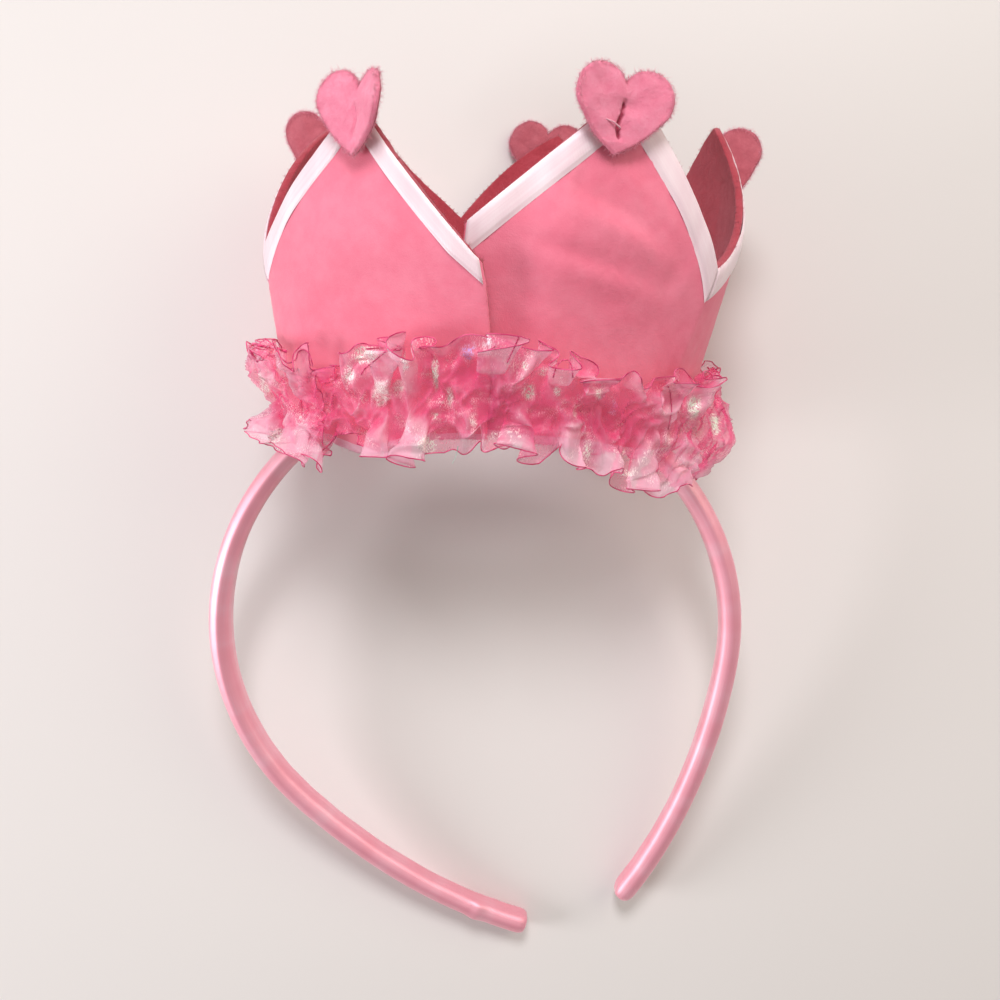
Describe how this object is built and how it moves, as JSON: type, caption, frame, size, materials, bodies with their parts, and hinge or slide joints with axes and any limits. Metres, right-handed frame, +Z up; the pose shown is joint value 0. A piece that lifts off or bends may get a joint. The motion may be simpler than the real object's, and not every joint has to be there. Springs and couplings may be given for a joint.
{
  "type": "mini crown headband",
  "caption": "Pink satin-wrapped head band with a small pointed felt crown on top, pale ribbon edging, a felt heart on each point and a gathered organza ruffle round its foot.",
  "frame": {"origin": "middle of the bounding box's underside, on the surface that the part lies on", "axes": "+X to the right and +Y towards the crown's points, as in the picture; +Z up from the surface"},
  "size_m": [0.1412, 0.2245, 0.0936],
  "materials": {
    "band_satin": "satin ribbon wrapped round the band, soft sheen",
    "crown_felt": "matte felt, smooth outside and napped inside",
    "ruffle_organza": "shiny organza with changing sparkles and overlocked edges",
    "edging_ribbon": "pale satin ribbon",
    "heart_felt": "thick fuzzy felt"
  },
  "bodies": {
    "root": {"headband": "band_satin", "crown_wall": "crown_felt", "ruffle": "ruffle_organza", "ribbon_right_front": "edging_ribbon", "ribbon_right_back": "edging_ribbon", "ribbon_middle_back": "edging_ribbon", "ribbon_left_back": "edging_ribbon", "ribbon_left_front": "edging_ribbon", "heart_right_front": "heart_felt", "heart_right_back": "heart_felt", "heart_middle_back": "heart_felt", "heart_left_back": "heart_felt", "heart_left_front": "heart_felt"}
  },
  "joints": []
}
